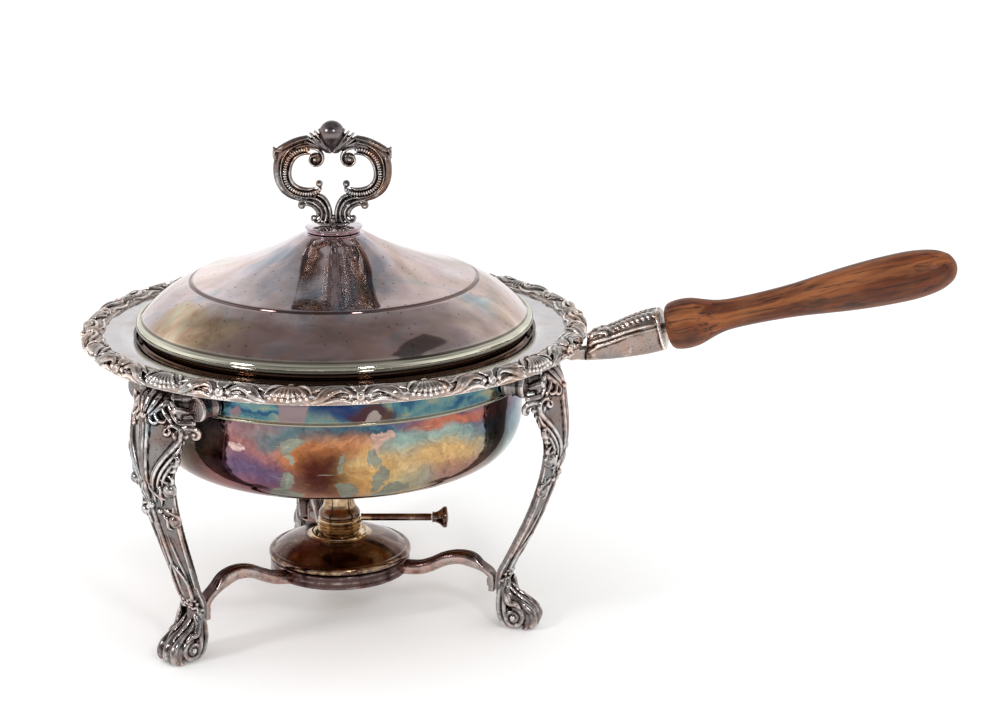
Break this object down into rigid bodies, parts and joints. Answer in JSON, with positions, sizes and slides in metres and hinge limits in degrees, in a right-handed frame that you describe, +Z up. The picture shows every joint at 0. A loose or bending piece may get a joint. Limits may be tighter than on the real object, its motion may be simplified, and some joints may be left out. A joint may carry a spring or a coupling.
{
  "type": "round chafing dish with lid, stand and spirit burner",
  "caption": "Round silver-plated chafing dish: lift-off domed lid, long wood handle, three cast cabriole legs and a spirit burner.",
  "frame": {"origin": "on the floor under the middle of the whole object's box; the dish axis stands at X = -0.1065", "axes": "+Z up, +X along the pan handle, +Y to the left when looking along the handle from the dish"},
  "size_m": [0.517, 0.304, 0.3053],
  "materials": {
    "lid_silver": "polished silver plate with a mauve and blue-grey tarnish",
    "pan_silver": "polished silver plate with rainbow heat tarnish",
    "rim_silver": "cast silver plate, dark in the recesses",
    "stand_silver": "cast silver plate, grey with dark recesses",
    "liner_silver": "plain silver plate",
    "burner_bronze": "silver plate worn and tarnished to bronze brown",
    "fastener_steel": "plain steel",
    "wick_cotton": "woven cotton",
    "handle_wood": "turned hardwood, worn oil finish"
  },
  "bodies": {
    "stand": {"stand_ring": "stand_silver", "leg_left": "stand_silver", "leg_right": "stand_silver", "leg_rear": "stand_silver", "burner_stretcher": "stand_silver", "stretcher_screw_left": "fastener_steel", "stretcher_screw_right": "fastener_steel", "stretcher_screw_rear": "fastener_steel"},
    "pan": {"outer_pan": "pan_silver", "rim_border": "rim_silver", "handle_socket": "rim_silver", "wood_handle": "handle_wood", "handle_tang": "fastener_steel"},
    "inner_pan": {"food_pan": "liner_silver"},
    "lid": {"lid_dome": "lid_silver", "lid_handle_base": "lid_silver", "lid_handle": "lid_silver", "lid_stud": "fastener_steel", "lid_nut": "fastener_steel"},
    "burner": {"burner_reservoir": "burner_bronze"},
    "wick_head": {"wick_tube": "burner_bronze", "wick": "wick_cotton"},
    "collar": {"filler_collar": "burner_bronze"},
    "regulator": {"regulator_sleeve": "burner_bronze", "regulator_rod": "burner_bronze", "regulator_knob": "burner_bronze"}
  },
  "joints": [
    {"name": "pan_lift", "type": "slide", "parent": "stand", "child": "pan", "axis": [0, 0, 1], "range_m": [0, 0.1]},
    {"name": "food_pan_lift", "type": "slide", "parent": "pan", "child": "inner_pan", "axis": [0, 0, 1], "range_m": [0, 0.08]},
    {"name": "lid_lift", "type": "slide", "parent": "inner_pan", "child": "lid", "axis": [0, 0, 1], "range_m": [0, 0.1]},
    {"name": "burner_lift", "type": "slide", "parent": "stand", "child": "burner", "axis": [0, 0, 1], "range_m": [0, 0.014]},
    {"name": "wick_head_lift", "type": "slide", "parent": "burner", "child": "wick_head", "axis": [0, 0, 1], "range_m": [0, 0.005]},
    {"name": "collar_turn", "type": "hinge", "parent": "wick_head", "child": "collar", "pos_m": [-0.1065, 0, 0.055], "axis": [0, 0, 1], "range_deg": [0, 720]},
    {"name": "regulator_turn", "type": "hinge", "parent": "wick_head", "child": "regulator", "pos_m": [-0.1065, 0, 0.0582], "axis": [0, 0, 1], "range_deg": [0, 90]}
  ]
}
